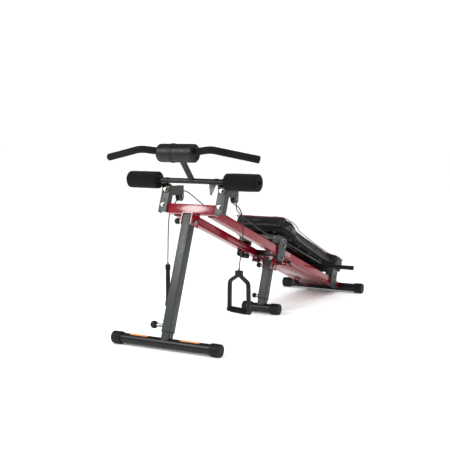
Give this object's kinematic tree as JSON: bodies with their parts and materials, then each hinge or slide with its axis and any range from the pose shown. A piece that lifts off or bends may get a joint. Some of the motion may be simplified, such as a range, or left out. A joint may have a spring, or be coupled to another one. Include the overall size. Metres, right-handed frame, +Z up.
{
  "type": "adjustable weight bench",
  "caption": "Folding glide-board bench: a padded carriage rolls on two inclined red rails and is tied by cables over pulleys to hanging stirrups, under a bull-horn bar and foam rollers.",
  "frame": {"origin": "on the floor, under the middle of the bench's length and width, leaving its cables out", "axes": "+Z up, +Y from the tall front leg to the low rear foot, +X to the right of someone facing +Y"},
  "size_m": [0.7694, 1.8206, 0.8839],
  "materials": {
    "red_paint": "gloss",
    "grey_paint": "satin powder coat",
    "black_paint": "satin",
    "moulded_plastic": "matte",
    "foam": "matte closed-cell foam",
    "vinyl": "satin grained vinyl",
    "board": "black painted board",
    "cable_sheath": "satin sheath"
  },
  "bodies": {
    "front_frame": {"front_rail_left": "red_paint", "front_rail_right": "red_paint", "front_crossbar": "red_paint", "upright_left": "grey_paint", "upright_right": "grey_paint", "roller_tube": "black_paint", "stem": "black_paint", "handlebar": "black_paint", "handlebar_grip_left": "foam", "handlebar_grip_right": "foam", "neck_pad": "vinyl", "front_leg_bracket": "red_paint", "mid_leg_bracket": "red_paint", "mid_crossbar": "black_paint", "fold_hinge_front_left": "red_paint", "fold_hinge_front_right": "red_paint", "pulley_bracket_left": "grey_paint", "pulley_bracket_right": "grey_paint", "cable_run_left": "cable_sheath", "cable_run_right": "cable_sheath"},
    "rear_frame": {"rear_rail_left": "red_paint", "rear_rail_right": "red_paint", "rear_panel": "red_paint", "fold_hinge_rear_left": "red_paint", "fold_hinge_rear_right": "red_paint", "rear_foot": "black_paint", "rear_saddle_left": "red_paint", "rear_saddle_right": "red_paint"},
    "carriage": {"carriage_frame_front": "grey_paint", "carriage_frame_rear": "grey_paint", "carriage_stringer_left": "black_paint", "carriage_stringer_right": "black_paint", "rear_handle": "black_paint", "pad_board": "board", "pad": "vinyl"},
    "front_leg": {"front_leg": "grey_paint"},
    "front_foot": {"front_foot": "black_paint"},
    "front_pin": {"front_leg_height_pin": "moulded_plastic"},
    "front_lock_pin": {"front_leg_lock_pin": "moulded_plastic"},
    "mid_leg": {"mid_leg": "grey_paint"},
    "mid_foot": {"mid_foot": "black_paint"},
    "mid_pin": {"mid_leg_height_pin": "moulded_plastic"},
    "mid_lock_pin": {"mid_leg_lock_pin": "moulded_plastic"},
    "wheel_front_left": {"wheel_front_left": "moulded_plastic"},
    "wheel_front_right": {"wheel_front_right": "moulded_plastic"},
    "wheel_rear_left": {"wheel_rear_left": "moulded_plastic"},
    "wheel_rear_right": {"wheel_rear_right": "moulded_plastic"},
    "wheel_lower_left": {"wheel_lower_left": "moulded_plastic"},
    "wheel_lower_right": {"wheel_lower_right": "moulded_plastic"},
    "pulley_left": {"pulley_left": "moulded_plastic"},
    "foam_roller_left": {"foam_roller_left": "foam"},
    "pulley_right": {"pulley_right": "moulded_plastic"},
    "foam_roller_right": {"foam_roller_right": "foam"},
    "stirrup_left": {"stirrup_left": "moulded_plastic", "cable_tail_left": "cable_sheath"},
    "stirrup_grip_left": {"stirrup_grip_left": "foam"},
    "stirrup_right": {"stirrup_right": "moulded_plastic", "cable_tail_right": "cable_sheath"},
    "stirrup_grip_right": {"stirrup_grip_right": "foam"}
  },
  "joints": [
    {"name": "rear_fold", "type": "hinge", "parent": "front_frame", "child": "rear_frame", "pos_m": [0, 0.1294, 0.25646], "axis": [1, 0, 0], "range_deg": [-90, 0]},
    {"name": "carriage_slide", "type": "slide", "parent": "front_frame", "child": "carriage", "axis": [0, -0.9369, 0.3497], "range_m": [0, 0.45], "deforming": ["cable_run_left", "cable_run_right"]},
    {"name": "wheel_front_left_spin", "type": "hinge", "parent": "carriage", "child": "wheel_front_left", "pos_m": [-0.089, 0.04849, 0.35424], "axis": [1, 0, 0], "continuous": true},
    {"name": "wheel_front_right_spin", "type": "hinge", "parent": "carriage", "child": "wheel_front_right", "pos_m": [0.089, 0.04849, 0.35424], "axis": [1, 0, 0], "continuous": true},
    {"name": "wheel_rear_left_spin", "type": "hinge", "parent": "carriage", "child": "wheel_rear_left", "pos_m": [-0.089, 0.73801, 0.09685], "axis": [1, 0, 0], "continuous": true},
    {"name": "wheel_rear_right_spin", "type": "hinge", "parent": "carriage", "child": "wheel_rear_right", "pos_m": [0.089, 0.73801, 0.09685], "axis": [1, 0, 0], "continuous": true},
    {"name": "wheel_lower_left_spin", "type": "hinge", "parent": "carriage", "child": "wheel_lower_left", "pos_m": [-0.089, 0.0252, 0.29184], "axis": [1, 0, 0], "continuous": true},
    {"name": "wheel_lower_right_spin", "type": "hinge", "parent": "carriage", "child": "wheel_lower_right", "pos_m": [0.089, 0.0252, 0.29184], "axis": [1, 0, 0], "continuous": true},
    {"name": "pulley_left_spin", "type": "hinge", "parent": "front_frame", "child": "pulley_left", "pos_m": [-0.145, -0.53442, 0.63687], "axis": [1, 0, 0], "continuous": true},
    {"name": "foam_roller_left_spin", "type": "hinge", "parent": "front_frame", "child": "foam_roller_left", "pos_m": [-0.253, -0.65769, 0.71571], "axis": [1, 0, 0], "continuous": true},
    {"name": "pulley_right_spin", "type": "hinge", "parent": "front_frame", "child": "pulley_right", "pos_m": [0.145, -0.53442, 0.63687], "axis": [1, 0, 0], "continuous": true},
    {"name": "foam_roller_right_spin", "type": "hinge", "parent": "front_frame", "child": "foam_roller_right", "pos_m": [0.253, -0.65769, 0.71571], "axis": [1, 0, 0], "continuous": true},
    {"name": "front_leg_fold", "type": "hinge", "parent": "front_frame", "child": "front_leg", "pos_m": [0, -0.68444, 0.53538], "axis": [1, 0, 0], "range_deg": [0, 75]},
    {"name": "front_height", "type": "slide", "parent": "front_leg", "child": "front_foot", "axis": [0, -0.3497, -0.9369], "range_m": [0, 0.1]},
    {"name": "front_pin_pull", "type": "slide", "parent": "front_leg", "child": "front_pin", "axis": [-1, 0, 0], "range_m": [0, 0.012], "stiffness_N_per_m": 900, "springref_m": -0.006},
    {"name": "mid_leg_fold", "type": "hinge", "parent": "front_frame", "child": "mid_leg", "pos_m": [0, 0.10872, 0.23536], "axis": [1, 0, 0], "range_deg": [0, 75]},
    {"name": "mid_height", "type": "slide", "parent": "mid_leg", "child": "mid_foot", "axis": [0, -0.3497, -0.9369], "range_m": [0, 0.06]},
    {"name": "front_lock_pull", "type": "slide", "parent": "front_frame", "child": "front_lock_pin", "axis": [-1, 0, 0], "range_m": [0, 0.012], "stiffness_N_per_m": 900, "springref_m": -0.006},
    {"name": "mid_lock_pull", "type": "slide", "parent": "front_frame", "child": "mid_lock_pin", "axis": [-1, 0, 0], "range_m": [0, 0.012], "stiffness_N_per_m": 900, "springref_m": -0.006},
    {"name": "mid_pin_pull", "type": "slide", "parent": "mid_leg", "child": "mid_pin", "axis": [-1, 0, 0], "range_m": [0, 0.012], "stiffness_N_per_m": 900, "springref_m": -0.006},
    {"name": "stirrup_left_swing", "type": "hinge", "parent": "front_frame", "child": "stirrup_left", "pos_m": [-0.145, -0.55542, 0.63587], "axis": [1, 0, 0], "range_deg": [-30, 8]},
    {"name": "stirrup_grip_left_spin", "type": "hinge", "parent": "stirrup_left", "child": "stirrup_grip_left", "pos_m": [-0.198, -0.55642, 0.13287], "axis": [0.5299, -0.848, 0], "continuous": true},
    {"name": "stirrup_right_swing", "type": "hinge", "parent": "front_frame", "child": "stirrup_right", "pos_m": [0.145, -0.55542, 0.63587], "axis": [1, 0, 0], "range_deg": [-30, 8]},
    {"name": "stirrup_grip_right_spin", "type": "hinge", "parent": "stirrup_right", "child": "stirrup_grip_right", "pos_m": [0.181, -0.55642, 0.13287], "axis": [0.9703, -0.2419, 0], "continuous": true}
  ],
  "couplings": [
    {"joint": "wheel_front_left_spin", "follows": "carriage_slide", "rad_per_m": 76.923},
    {"joint": "wheel_front_right_spin", "follows": "carriage_slide", "rad_per_m": 76.923},
    {"joint": "wheel_rear_left_spin", "follows": "carriage_slide", "rad_per_m": 76.923},
    {"joint": "wheel_rear_right_spin", "follows": "carriage_slide", "rad_per_m": 76.923},
    {"joint": "wheel_lower_left_spin", "follows": "carriage_slide", "rad_per_m": -76.923},
    {"joint": "wheel_lower_right_spin", "follows": "carriage_slide", "rad_per_m": -76.923},
    {"joint": "pulley_left_spin", "follows": "carriage_slide", "rad_per_m": 47.619},
    {"joint": "pulley_right_spin", "follows": "carriage_slide", "rad_per_m": 47.619}
  ]
}
